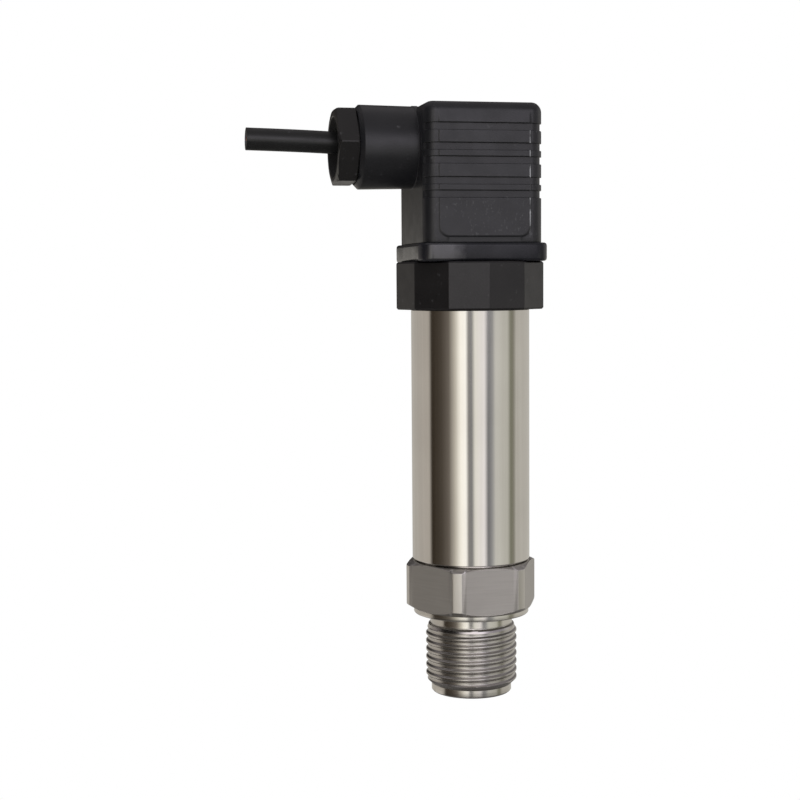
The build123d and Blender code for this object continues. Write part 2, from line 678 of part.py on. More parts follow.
def cable_tube(diameter):
    """Tube along the cable's route: straight runs joined by tangent arcs."""
    points = [Vector(*point) for point in CABLE_ROUTE]
    radii = []
    for before, corner, after in zip(points, points[1:], points[2:]):
        run_in = corner - before
        run_out = after - corner
        turn = math.radians(run_in.get_angle(run_out))
        shorter = min(run_in.length, run_out.length)
        radii.append(FILLET_SHARE * shorter / math.tan(turn / 2))
    path = FilletPolyline(*points, radius=radii)
    tube = sweep(Plane(path @ 0, z_dir=path % 0) * Circle(diameter / 2), path)
    return tube, path, radii


def gland_seal():
    """Rubber sleeve squeezed round the cable."""
    body = lying_rod(SEAL_BODY_D, WASHER_END, -SEAL_SHOULDER)
    squeezed_tube = cable_tube(CABLE_D)[0]
    return body - squeezed_tube


def cable():
    """Sheathed cable from the plug's chamber to its cut end."""
    tube, path, radii = cable_tube(CABLE_D)
    expected = math.pi * (CABLE_D / 2) ** 2 * path.length
    print("cable length", round(path.length, 2), "radii", [round(r, 1) for r in radii])
    print("cable volume against section times length", round(tube.volume / expected, 4))
    return tube


def cable_cores():
    """Cores of the two-wire loop inside the plug, from the cable's end to two terminals."""
    start_x, _, start_z = CABLE_ROUTE[0]
    straight_x = start_x + CORE_START_L
    down_x = -TERMINAL_W / 2 - CORE_LEAD_L
    cores = []
    for side in (-1, 1):
        clamp_y = side * CLAMP_X
        route = FilletPolyline(
            (start_x, side * CORE_SPREAD, start_z),
            (straight_x, side * CORE_SPREAD, start_z),
            (down_x, clamp_y - side * CORE_LEAN, start_z - CORE_LEAN),
            (down_x, clamp_y, CORE_HOLE_Z),
            (TERMINAL_W / 2, clamp_y, CORE_HOLE_Z),
            radius=CORE_BEND_R,
        )
        cores.append(sweep(Plane(route @ 0, z_dir=route % 0) * Circle(CORE_D / 2), route))
    return cores


PIECES = {
    "process_connection": process_connection,
    "sensor_capsule": sensor_capsule,
    "sensor_diaphragm": sensor_diaphragm,
    "capsule_o_ring": capsule_o_ring,
    "retaining_ring": retaining_ring,
    "header_pins": header_pins,
    "compensation_board": compensation_board,
    "amplifier_board": amplifier_board,
    "board_chips": board_chips,
    "board_holder": board_holder,
    "lead_wires": lead_wires,
    "case_tube": case_tube,
    "collar": collar,
    "collar_o_ring": collar_o_ring,
    "base_socket": base_socket,
    "base_screws": base_screws,
    "contact_blades": contact_blades,
    "earth_blade": earth_blade,
    "base_nut": base_nut,
    "flange_gasket": flange_gasket,
    "plug_housing": plug_housing,
    "contact_insert": contact_insert,
    "terminals": terminals,
    "earth_terminal": earth_terminal,
    "terminal_screws": terminal_screws,
    "fixing_screw": fixing_screw,
    "screw_seal": screw_seal,
    "gland_screw": gland_screw,
    "gland_washer": gland_washer,
    "gland_seal": gland_seal,
    "cable": cable,
    "cable_cores": cable_cores,
}

os.makedirs("parts", exist_ok=True)
for node, make in PIECES.items():
    piece = make()
    if isinstance(piece, list):
        piece = Compound(children=piece)
    export_step(piece, f"parts/{node}.step")
    print(node, "written")
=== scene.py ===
import math

import bmesh
import bpy
from mathutils import Matrix, Vector


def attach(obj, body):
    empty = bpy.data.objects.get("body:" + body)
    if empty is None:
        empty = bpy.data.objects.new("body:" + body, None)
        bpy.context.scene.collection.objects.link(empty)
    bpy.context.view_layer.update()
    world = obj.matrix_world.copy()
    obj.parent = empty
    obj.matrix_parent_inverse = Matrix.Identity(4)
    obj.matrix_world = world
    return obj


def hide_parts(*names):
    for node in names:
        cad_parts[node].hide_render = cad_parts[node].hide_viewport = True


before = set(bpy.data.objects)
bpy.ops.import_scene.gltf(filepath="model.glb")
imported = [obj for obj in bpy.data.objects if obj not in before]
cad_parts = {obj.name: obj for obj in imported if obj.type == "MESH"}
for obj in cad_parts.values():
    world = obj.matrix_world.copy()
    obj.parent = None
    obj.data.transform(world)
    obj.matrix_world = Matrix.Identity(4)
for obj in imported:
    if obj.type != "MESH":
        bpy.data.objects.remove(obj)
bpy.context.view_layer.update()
scene = bpy.context.scene
scene.view_settings.view_transform = "Standard"

MM = 0.001

# Camera, from the photograph's viewpoint
CAMERA_PLACE = (-85.703, -333.789, 74.5)
CAMERA_AHEAD = (0.20325, 0.97614, -0.07643)
CAMERA_RIGHT = (0.97886, -0.20438, -0.00720)
LENS = 68.91
VIEW_TURN = 14.4        # degrees from -Y to the viewpoint

# Cable, in millimetres. The places are its route from the gland's seal to the cut end.
CABLE_D = 4.9
CABLE_ROUTE = ((-9.5, 0.0, 104.15), (-19.5, 0.0, 104.15), (-32.0, 0.0, 105.30), (-49.8, 0.0, 105.70))
CUT_SIDES = 24
CUT_DOME = ((1.0, -0.04), (0.9, 0.0), (0.4, 0.01))     # share of the radius, height
FILLER_R = 1.9
CORE_PLACES = (-0.85, 0.85)
CORE_R = 0.75
CORE_LIFT = 0.015
STRANDS_R = 0.42
STRANDS_LIFT = 0.03


def make_camera():
    """Camera with the photograph's viewpoint."""
    data = bpy.data.cameras.new("camera")
    data.sensor_width = 36.0
    data.lens = LENS
    data.clip_start = 0.01
    camera = bpy.data.objects.new("camera", data)
    scene.collection.objects.link(camera)
    ahead = Vector(CAMERA_AHEAD).normalized()
    up = Vector(CAMERA_RIGHT).cross(ahead).normalized()
    right = ahead.cross(up)
    turn = Matrix((right, up, -ahead)).transposed()
    camera.matrix_world = Matrix.Translation(Vector(CAMERA_PLACE) * MM) @ turn.to_4x4()
    scene.camera = camera


def make_cable():
    """The cable's stub as one smooth curve."""
    data = bpy.data.curves.new("cable_stub", "CURVE")
    data.dimensions = "3D"
    spline = data.splines.new("NURBS")
    spline.points.add(len(CABLE_ROUTE) - 1)
    for point, place in zip(spline.points, CABLE_ROUTE):
        point.co = (*(Vector(place) * MM), 1.0)
    spline.order_u = 3
    spline.use_endpoint_u = True
    data.resolution_u = 16
    data.bevel_depth = CABLE_D / 2 * MM
    data.bevel_resolution = 10
    data.use_fill_caps = True
    stub = bpy.data.objects.new("cable_stub", data)
    scene.collection.objects.link(stub)
    return stub


make_camera()
cable_stub = make_cable()

# All sizes below are in millimetres, in the frame's own coordinates

# Process connection
BAR_R = 15.0
HEX_HALF = 13.5
HEX_TURN = 3.9
CORNER_HALF_TURN = 30 - math.degrees(math.acos(HEX_HALF / BAR_R))
HEX_TOP = 12.0
HEX_TOP_CHAMFER = 0.8
HEX_LOW_CHAMFER = 1.2
HEX_EASE = 0.14
HEX_STEPS = 24          # columns on each flat
RING_MARGIN = 0.02      # the faces of the ring below and of the end above keep the turned finish
END_MARGIN = 0.001
BORE_MARGIN = 0.5
CHAMFER_SLOPE = 0.2     # least upward or downward part of a chamfer's direction
SEAL_R = 13.0
SEAL_H = 1.1
NECK_R = 9.25
NECK_H = 2.2
THREAD_R = 10.3
THREAD_END = 15.2
THREAD_DEPTH = 0.45
THREAD_TOP = 3.17       # middle of the groove below the sealing face, at +X
PITCH = 1.814
LEAD_IN = ((0.0, NECK_R), (2.5, NECK_R), (2.75, 9.7), (3.5, 9.9), (4.1, THREAD_R))
PILOT_R = 9.05
PILOT_START = 16.4
PILOT_END = 18.2
PILOT_CHAMFER = 0.3
PORT_R = 3.0
PORT_MOUTH_R = 4.0
CAVITY_R = 9.55
CAVITY_FLOOR = 5.0
SPIGOT_R = 11.95
SPIGOT_TOP = 18.0
TURNED_EASE = 0.2
THREAD_SHAPE = (        # place along the pitch from a crest's middle, share of the depth
    (0.000, 0.00), (0.095, 0.00), (0.118, 0.03), (0.140, 0.10), (0.205, 0.42), (0.270, 0.74),
    (0.315, 0.93), (0.345, 0.99), (0.385, 1.00), (0.500, 1.00), (0.615, 1.00), (0.655, 0.99),
    (0.685, 0.93), (0.730, 0.74), (0.795, 0.42), (0.860, 0.10), (0.882, 0.03), (0.905, 0.00),
)

# Case tube and collar
TUBE_R = 13.25
TUBE_BORE_R = 12.0
TUBE_LOW = 12.3
TUBE_TOP = 68.5
TUBE_SEAM = 40.0        # height at which the wall's outline starts and ends
TUBE_EASE = 0.25
TUBE_SIDES = 256
COLLAR_HALF = 16.25
COLLAR_TOP = 79.0
COLLAR_EDGE = 0.35
COLLAR_EASE = 0.12
COLLAR_LAND = 3.0       # width of the collar's flat end faces
COLLAR_CORNER_R = 0.3
COLLAR_SPIGOT_LOW = 61.0
COLLAR_SPIGOT_R = 11.95
COLLAR_BORE_R = 10.05
COLLAR_STEP = 71.0
COLLAR_INNER_R = 10.35

# Gasket
GASKET_HALF = 14.55
GASKET_CORNER_R = 3.0
GASKET_COLUMNS = [-11.0 + 1.1 * step for step in range(21)]
GASKET_BOW = 0.15
GASKET_BOW_START = 5.0  # from the middle of a side
GASKET_BOW_REACH = 6.5
GASKET_RIM_R = 0.75
GASKET_LAND = 2.6       # width of the gasket's flat end faces
GASKET_TOP = 83.0
GASKET_POCKET_HALF = 13.3
GASKET_POCKET_TOP = 81.5
GASKET_HOLE_R = 10.7

# Plug housing
PLUG_HALF = 13.3
PLUG_LOW = 83.0
PLUG_TOP = 113.2
PLUG_CORNER_R = 2.4
PLUG_FLATNESS = 0.35    # of the corners: 0 is an arc, 1 a chamfer
PLUG_TOP_R = 2.2
PLUG_TOP_STEPS = 10
PLUG_EASE = 0.2
PLUG_WALL = 1.9
PLUG_ROOF = 110.2
PANEL_HALF = 10.3
PANEL_LOW = 84.1
PANEL_LIFT = 0.2
PANEL_CORNER_R = 2.4
PANEL_EASE = 0.36       # width of the panel's sloping rim
PANEL_FADE = 2.2        # height over which it runs out at the top

# Rows and columns of the plug's wall, close together where its shape changes
PANEL_ROWS = (0.0, 0.12, 0.24, 0.36, 0.5, 0.7, 0.9, 1.1, 1.3, 1.5, 1.7, 1.9, 2.1, 2.3, 2.5)
PLAIN_ROWS = (89.0, 91.5)
TOP_ROWS = (1.6, 0.8, 0.12, 0.0)        # below the rounded top
MIDDLE_COLUMNS = (0.0, 2.5, 5.0, 7.0, 7.85)
RIM_COLUMNS = [7.9 + 0.18 * step for step in range(1, 12)]
RIM_SHARES = (1.0, 0.66, 0.33, 0.0)
LAST_COLUMN = 10.6

GROOVE_LOWS = (92.6, 95.45, 99.85, 102.75, 107.0)
GROOVE_H = 1.55
GROOVE_DEPTH = 0.35
GROOVE_EDGE = (         # height from the groove's edge inwards, depth
    (-0.22, 0.0), (-0.10, 0.0), (-0.03, 0.02), (0.0, 0.07), (0.0, 0.29),
    (0.06, GROOVE_DEPTH), (0.16, GROOVE_DEPTH),
)
GROOVE_WRAP = 0.3       # plain part of the corners beside the face with the spout
GROOVE_RUNOUT = 0.55    # width over which the grooves end there
GROOVE_END_TURNS = (0.0, 3.5, 7.0, 10.5, 14.0)      # degrees from there, more columns round the corner
HEAD_POCKET_R = 3.5
HEAD_POCKET_LAND = 1.5  # flat ring of the top round it
HEAD_POCKET_FLOOR = 108.0
POST_R = 4.8
POST_LOW = 96.0
SCREW_HOLE_R = 1.8

# Cable spout and gland
GLAND_Z = 104.15
SPOUT_R = 9.2
SPOUT_ROOT_R = 9.0
SPOUT_END = 26.1
SPOUT_CHAMFER = 0.9
SPOUT_FILLET = 0.12
SPOUT_EASE = 0.1
SPOUT_BORE_R = 7.5
SPOUT_SIDES = 160
SPOUT_OVERLAP = 1.0     # how far it reaches into the plug's wall
GLAND_HEX_HALF = 7.9
GLAND_HEX_TURN = 3.4
GLAND_INNER = -26.45
GLAND_OUTER = -30.8
GLAND_FACE_R = 7.6
GLAND_FACE_CHAMFER = 0.5
GLAND_EASE = 0.24
GLAND_SHANK_R = 7.43
GLAND_SHANK_END = -19.45
GLAND_BORE_R = 4.15
GLAND_MOUTH_R = 6.6
GLAND_MOUTH_END = -27.6
GLAND_TURNED_EASE = 0.25
GLAND_SHADE_END = 0.4    # how far the mouth's painted shade, a darker and duller black, goes into the bore
GLAND_SHADE_RIM = 0.3    # how far it stays away from the mouth's rim
SEAL_BORE_R = 6.9
SEAL_START = -18.65
SEAL_SHOULDER = -13.5
PASSAGE_R = 4.0

# Wear, a painted highlight and shine, as places on the front faces
FRONT_Y = -13.1         # everything before it is on the plug's or the gasket's front
# painted highlight: a pale line down the front panel's right edge, standing for light caught by that edge
HIGHLIGHT_EDGE_X = 10.08
HIGHLIGHT_EDGE_HALF = 0.16
HIGHLIGHT_EDGE_Z = (96.0, 11.5)      # middle and half height
SCUFFS_Z = (88.0, 4.0)
OILY_Y = -13.5
OILY_END_X = (-7.4, -4.4)       # where the shiny patch of the gasket fades out
OILY_RAGGED = 0.8
# pale grey of the real scuffs, and of the painted highlight line on the plug panel's edge
SCUFF_AND_HIGHLIGHT_GREY = (0.30, 0.30, 0.315)

# Meshes
CORNER_TURNS = [7.5 * step for step in range(13)]       # degrees, columns round a square's corner
LARGEST_CUT = 0.45      # share of an outline's side that a soft corner may take
STRAIGHT = 0.01         # radians, smaller turns of an outline stay as they are
WELD = 2e-7             # metres between points that become one


def soften(points, radius, steps=3):
    """Outline points with each inner corner turned into a small arc."""
    result = [points[0]]
    for before, corner, after in zip(points, points[1:], points[2:]):
        corner = Vector(corner)
        back = Vector(before) - corner
        on = Vector(after) - corner
        turn = math.pi - back.angle(on)
        if turn < STRAIGHT:
            result.append(tuple(corner))
            continue
        cut = min(radius * math.tan(turn / 2), LARGEST_CUT * back.length, LARGEST_CUT * on.length)
        start = corner + back.normalized() * cut
        end = corner + on.normalized() * cut
        for step in range(steps + 1):
            share = step / steps
            first = start.lerp(corner, share)
            second = corner.lerp(end, share)
            result.append(tuple(first.lerp(second, share)))
    result.append(points[-1])
    return result


def round_rings(profile, angles):
    """Rings about Z from (radius, height) points."""
    turns = [(math.cos(angle), math.sin(angle)) for angle in angles]
    return [[(r * c, r * s, z) for c, s in turns] for r, z in profile]


def lying_rings(profile, angles):
    """Rings about the gland's axis from (place along X, radius) points."""
    turns = [(math.cos(angle), math.sin(angle)) for angle in angles]
    return [[(x, r * c, GLAND_Z + r * s) for c, s in turns] for x, r in profile]


def even_angles(count):
    """Evenly spaced angles round a circle."""
    return [2 * math.pi * k / count for k in range(count)]


def ring_faces(rings, closed):
    """Quads between neighbouring rings, as index tuples."""
    count = len(rings[0])
    faces = []
    for i in range(len(rings) if closed else len(rings) - 1):
        j = (i + 1) % len(rings)
        for k in range(count):
            m = (k + 1) % count
            faces.append((i * count + k, i * count + m, j * count + m, j * count + k))
    return faces


def add_rings(bm, rings, closed=True):
    """Adds rings and the quads between them to a mesh; gives the rings' vertices."""
    rows = [[bm.verts.new(Vector(point) * MM) for point in ring] for ring in rings]
    flat = [vertex for row in rows for vertex in row]
    for face in ring_faces(rings, closed):
        bm.faces.new([flat[index] for index in face])
    return rows


def loop_edges(bm, row):
    """Edges round one ring of vertices."""
    pairs = zip(row, row[1:] + row[:1])
    return [edge for edge in (bm.edges.get(pair) for pair in pairs) if edge]


def finish_piece(bm, name, body, nodes, material, sharp=40):
    """Turns a mesh into a shown piece that stands for its CAD nodes."""
    bmesh.ops.remove_doubles(bm, verts=bm.verts, dist=WELD)
    bmesh.ops.recalc_face_normals(bm, faces=bm.faces)
    mesh = bpy.data.meshes.new(name)
    bm.to_mesh(mesh)
    bm.free()
    mesh.polygons.foreach_set("use_smooth", [True] * len(mesh.polygons))
    mesh.set_sharp_from_angle(angle=math.radians(sharp))
    piece = bpy.data.objects.new(name, mesh)
    scene.collection.objects.link(piece)
    weighted = piece.modifiers.new("normals", "WEIGHTED_NORMAL")
    weighted.keep_sharp = True
    mesh.materials.append(material)
    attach(piece, body)
    if nodes:
        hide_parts(*nodes)
    return piece


# Materials

def start_material(name, colour, roughness, metallic=0.0):
    """A new material; gives its tree and its shader."""
    material = bpy.data.materials.new(name)
    material.use_nodes = True
    tree = material.node_tree
    bsdf = tree.nodes["Principled BSDF"]
    bsdf.inputs["Base Color"].default_value = (*colour, 1.0)
    bsdf.inputs["Roughness"].default_value = roughness
    bsdf.inputs["Metallic"].default_value = metallic
    return material, tree, bsdf


def noise(tree, scale, detail=3.0, stretch=(1.0, 1.0, 1.0)):
    """Noise fixed to the object; scale is in waves per metre."""
    coordinates = tree.nodes.new("ShaderNodeTexCoord")
    mapping = tree.nodes.new("ShaderNodeMapping")
    mapping.inputs["Scale"].default_value = stretch
    texture = tree.nodes.new("ShaderNodeTexNoise")
    texture.inputs["Scale"].default_value = scale
    texture.inputs["Detail"].default_value = detail
    tree.links.new(coordinates.outputs["Object"], mapping.inputs["Vector"])
    tree.links.new(mapping.outputs["Vector"], texture.inputs["Vector"])
    return texture.outputs["Fac"]


def spread(tree, value, low, high, start=0.3, end=0.7):
    """Maps the range from start to end, by default a noise's middle, to low and high."""
    node = tree.nodes.new("ShaderNodeMapRange")
    node.inputs["From Min"].default_value = start
    node.inputs["From Max"].default_value = end
    node.inputs["To Min"].default_value = low
    node.inputs["To Max"].default_value = high
    tree.links.new(value, node.inputs["Value"])
    return node.outputs["Result"]


def colours(tree, value, *stops):
    """Colour ramp from (place, colour) stops."""
    node = tree.nodes.new("ShaderNodeValToRGB")
    elements = node.color_ramp.elements
    while len(elements) < len(stops):
        elements.new(0.5)
    for element, (place, colour) in zip(elements, stops):
        element.position = place
        element.color = (*colour, 1.0)
    tree.links.new(value, node.inputs["Fac"])
    return node.outputs["Color"]


def bump(tree, height, distance, strength=1.0, under=None):
    """Bump of a given depth in metres, on top of another one."""
    node = tree.nodes.new("ShaderNodeBump")
    node.inputs["Strength"].default_value = strength
    node.inputs["Distance"].default_value = distance
    tree.links.new(height, node.inputs["Height"])
    if under:
        tree.links.new(under, node.inputs["Normal"])
    return node.outputs["Normal"]


def calculate(tree, operation, *values):
    """Result of a math node on sockets and floats."""
    node = tree.nodes.new("ShaderNodeMath")
    node.operation = operation
    for socket, value in zip(node.inputs, values):
        if isinstance(value, float):
            socket.default_value = value
        else:
            tree.links.new(value, socket)
    return node.outputs[0]


def blend(tree, kind, factor, first, second):
    """Mix of two colours or sockets; no factor means the full effect."""
    node = tree.nodes.new("ShaderNodeMix")
    node.data_type = "RGBA"
    node.blend_type = kind
    if factor is None:
        node.inputs["Factor"].default_value = 1.0
    else:
        tree.links.new(factor, node.inputs["Factor"])
    for socket, value in ((node.inputs[6], first), (node.inputs[7], second)):
        if isinstance(value, tuple):
            socket.default_value = (*value, 1.0)
        else:
            tree.links.new(value, socket)
    return node.outputs[2]


def object_axes(tree):
    """Sockets of the place on the object along x, y and z, in metres."""
    coordinates = tree.nodes.new("ShaderNodeTexCoord")
    parts = tree.nodes.new("ShaderNodeSeparateXYZ")
    tree.links.new(coordinates.outputs["Object"], parts.inputs["Vector"])
    return parts.outputs


def near(tree, value, middle, half):
    """1 within half of the middle, given in millimetres, and 0 elsewhere."""
    return calculate(tree, "COMPARE", value, middle * MM, half * MM)


def wear_and_edge_highlight(tree):
    """Mask of a painted highlight line on the front panel's right upright edge, and of real scuffs low on the
    front.
    """
    x, y, z = object_axes(tree)
    front = calculate(tree, "LESS_THAN", y, FRONT_Y * MM)
    # painted highlight: the front panel's right edge, broken up by noise
    upright = near(tree, x, HIGHLIGHT_EDGE_X, HIGHLIGHT_EDGE_HALF)
    line = calculate(tree, "MULTIPLY", upright, near(tree, z, *HIGHLIGHT_EDGE_Z))
    broken = spread(tree, noise(tree, 420.0, 3.0), 0.08, 0.8, 0.42, 0.60)
    edge = calculate(tree, "MULTIPLY", line, broken)
    patch = spread(tree, noise(tree, 170.0, 2.0), 0.0, 1.0, 0.46, 0.62)
    marks = spread(tree, noise(tree, 2200.0, 7.0, (1.0, 1.0, 0.7)), 0.0, 0.17, 0.59, 0.73)
    low_patch = calculate(tree, "MULTIPLY", near(tree, z, *SCUFFS_Z), patch)
    scuffs = calculate(tree, "MULTIPLY", low_patch, marks)
    return calculate(tree, "MULTIPLY", front, calculate(tree, "MAXIMUM", edge, scuffs))


def moulded(name, colour, pale, roughness, grain, depth, wave=0.0, scuffed_and_highlit=False):
    """Moulded plastic or rubber with grain, cloudy gloss and a few pale scuffs; optionally more scuffs and a
    painted highlight line on the front panel's edge.
    """
    material, tree, bsdf = start_material(name, colour, sum(roughness) / 2)
    body = colours(tree, noise(tree, 120.0, 4.0), (0.30, colour), (0.75, pale))
    mask = spread(tree, noise(tree, 900.0, 6.0, (1.0, 1.0, 0.8)), 0.0, 0.12, 0.66, 0.80)
    if scuffed_and_highlit:
        # adds real scuffs and a painted highlight on the panel's right edge
        mask = calculate(tree, "MAXIMUM", mask, wear_and_edge_highlight(tree))
    tree.links.new(blend(tree, "MIX", mask, body, SCUFF_AND_HIGHLIGHT_GREY), bsdf.inputs["Base Color"])
    tree.links.new(spread(tree, noise(tree, 260.0, 5.0), *roughness), bsdf.inputs["Roughness"])
    normal = bump(tree, noise(tree, grain, 2.0), depth)
    if wave:
        normal = bump(tree, noise(tree, 140.0, 1.0), wave, under=normal)
    tree.links.new(normal, bsdf.inputs["Normal"])
    return material


def metal(name, colour, dark, roughness, stretch, lines, depth, metallic=1.0):
    """Worked metal with lines across or along it."""
    material, tree, bsdf = start_material(name, colour, sum(roughness) / 2, metallic)
    streak = noise(tree, lines, 4.0, stretch)
    cloud = noise(tree, 60.0, 4.0)
    both = calculate(tree, "ADD", spread(tree, streak, 0.0, 0.5), spread(tree, cloud, 0.0, 0.5))
    tree.links.new(colours(tree, both, (0.05, dark), (0.85, colour)), bsdf.inputs["Base Color"])
    tree.links.new(spread(tree, streak, *roughness), bsdf.inputs["Roughness"])
    tree.links.new(bump(tree, streak, depth), bsdf.inputs["Normal"])
    return material


def oily_patch(material):
    """Shinier patch at the left of the gasket's front, duller rubber beside it."""
    tree = material.node_tree
    x, y, _ = object_axes(tree)
    front = calculate(tree, "LESS_THAN", y, OILY_Y * MM)
    ragged = spread(tree, noise(tree, 500.0, 3.0), -OILY_RAGGED * MM, OILY_RAGGED * MM)
    place = calculate(tree, "ADD", x, ragged)
    change = spread(tree, place, 0.40, -0.25, *(end * MM for end in OILY_END_X))
    level = calculate(tree, "MULTIPLY_ADD", front, change, 0.5)
    tree.links.new(level, tree.nodes["Principled BSDF"].inputs["Specular IOR Level"])


def plain(name, colour, roughness, metallic=0.0, grain=1500.0, depth=0.00001):
    """Finish of a hidden piece: a little grain and cloudiness."""
    material, tree, bsdf = start_material(name, colour, roughness, metallic)
    cloud = noise(tree, 300.0, 4.0)
    dark = tuple(0.8 * part for part in colour)
    tree.links.new(colours(tree, cloud, (0.35, dark), (0.65, colour)), bsdf.inputs["Base Color"])
    tree.links.new(spread(tree, cloud, roughness * 0.85, roughness * 1.15), bsdf.inputs["Roughness"])
    tree.links.new(bump(tree, noise(tree, grain), depth), bsdf.inputs["Normal"])
    return material


# Name, colour, paler colour, roughness from and to, grain in waves per metre and its depth in metres
# the plug's black also carries the painted highlight on its front panel's right edge
plug_black = moulded(
    "plug_black", (0.007, 0.007, 0.0085), (0.011, 0.011, 0.013), (0.30, 0.40), 3200.0, 0.000012, scuffed_and_highlit=True)
gland_black = moulded(
    "gland_black", (0.006, 0.0055, 0.0055), (0.009, 0.008, 0.008), (0.30, 0.38), 2600.0, 0.000012)
# painted shade: darker, duller black for the inside of the gland screw's mouth
gland_mouth_painted_shade = moulded(
    "gland_mouth_painted_shade", (0.003, 0.003, 0.003), (0.004, 0.004, 0.004), (0.70, 0.80), 2600.0, 0.00002)
collar_black = moulded(
    "collar_black", (0.0055, 0.005, 0.0055), (0.009, 0.008, 0.0085), (0.34, 0.42), 2200.0, 0.000015)
gasket_black = moulded(
    "gasket_black", (0.008, 0.008, 0.010), (0.012, 0.012, 0.015), (0.16, 0.28), 2600.0, 0.000008, 0.0002)
oily_patch(gasket_black)
cable_black = moulded(
    "cable_black", (0.005, 0.005, 0.005), (0.009, 0.009, 0.009), (0.28, 0.40), 3000.0, 0.000015)

# Name, colour, darker colour, roughness, stretch of the lines, their waves per metre and depth in metres
ACROSS = (0.02, 0.02, 1.0)
tube_steel = metal(
    "tube_steel", (0.74, 0.72, 0.69), (0.64, 0.62, 0.59), (0.07, 0.13), (1.0, 1.0, 0.012), 900.0, 0.000006)
turned_steel = metal(
    "turned_steel", (0.72, 0.70, 0.66), (0.56, 0.54, 0.51), (0.12, 0.20), ACROSS, 3500.0, 0.000008)
thread_steel = metal(
    "thread_steel", (0.60, 0.58, 0.55), (0.44, 0.42, 0.40), (0.20, 0.30), ACROSS, 3500.0, 0.000008)
milled_steel = metal(
    "milled_steel", (0.50, 0.48, 0.45), (0.42, 0.40, 0.375), (0.40, 0.50), (0.05, 0.05, 1.0), 2600.0, 0.00001,
    metallic=0.88)
bar_steel = metal(
    "bar_steel", (0.72, 0.70, 0.67), (0.60, 0.58, 0.55), (0.28, 0.38), (1.0, 1.0, 0.10), 1500.0, 0.00001)

hidden_steel = plain("hidden_steel", (0.60, 0.60, 0.60), 0.30, 1.0)
seal_black = plain("seal_black", (0.02, 0.02, 0.02), 0.60)
insert_black = plain("insert_black", (0.03, 0.03, 0.03), 0.50)
tinned = plain("tinned", (0.72, 0.70, 0.66), 0.28, 1.0)
brass = plain("brass", (0.72, 0.52, 0.25), 0.25, 1.0)
gold = plain("gold", (0.83, 0.62, 0.28), 0.22, 1.0)
zinc = plain("zinc", (0.62, 0.62, 0.60), 0.30, 1.0)
board_green = plain("board_green", (0.02, 0.12, 0.05), 0.35)
chip_black = plain("chip_black", (0.02, 0.02, 0.02), 0.55)
holder_white = plain("holder_white", (0.62, 0.60, 0.55), 0.50)
core_brown = plain("core_brown", (0.12, 0.045, 0.02), 0.35)
core_blue = plain("core_blue", (0.015, 0.05, 0.17), 0.35)
copper = plain("copper", (0.80, 0.42, 0.26), 0.30, 1.0)
filler = plain("filler", (0.05, 0.05, 0.05), 0.70)

CAD_FINISHES = {
    "sensor_capsule": hidden_steel,
    "sensor_diaphragm": hidden_steel,
    "capsule_o_ring": seal_black,
    "retaining_ring": hidden_steel,
    "header_pins": gold,
    "compensation_board": board_green,
    "amplifier_board": board_green,
    "board_chips": chip_black,
    "board_holder": holder_white,
    "lead_wires": core_brown,
    "collar_o_ring": seal_black,
    "base_socket": insert_black,
    "base_screws": zinc,
    "contact_blades": tinned,
    "earth_blade": tinned,
    "base_nut": brass,
    "contact_insert": insert_black,
    "terminals": tinned,
    "earth_terminal": tinned,
    "terminal_screws": zinc,
    "fixing_screw": zinc,
    "screw_seal": seal_black,
    "gland_washer": holder_white,
    "gland_seal": seal_black,
    "cable_cores": core_brown,
}
for node, finish in CAD_FINISHES.items():
    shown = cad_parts[node]
    shown.data.materials.clear()
    shown.data.materials.append(finish)


# Process connection

FLAT_FINISH = 1         # places in its list of materials
BAR_FINISH = 2
THREAD_FINISH = 3


def hex_angles():
    """Angles for the hexagon: close in the turned corners, wider on the flats."""
    half = math.radians(CORNER_HALF_TURN)
    flat = math.radians(60) - 2 * half
    angles = []
    for corner in range(6):
        middle = math.radians(HEX_TURN + 60 * corner)
        angles += [middle - half, middle - half / 2, middle, middle + half / 2]
        angles += [middle + half + flat * step / HEX_STEPS for step in range(HEX_STEPS)]
    return angles


def hex_reach(angle):
    """Distance from the axis to the hexagon's wall, in the turned corners too."""
    off = (math.degrees(angle) - HEX_TURN) % 60 - 30
    return min(BAR_R, HEX_HALF / math.cos(math.radians(off)))


def lead_in_radius(z):
    """Radius that the lead-in leaves above the full thread."""
    for (upper, upper_r), (lower, lower_r) in zip(LEAD_IN, LEAD_IN[1:]):
        if -z <= lower:
            return upper_r + (lower_r - upper_r) * (-z - upper) / (lower - upper)
    return THREAD_R


def thread_radius(share, z):
    """Radius of the threaded stem at a height."""
    cut = THREAD_R - share * THREAD_DEPTH
    lead_out = PILOT_R + (THREAD_R - PILOT_R) * (PILOT_START + z) / (PILOT_START - THREAD_END)
    return min(cut, lead_in_radius(z), lead_out)


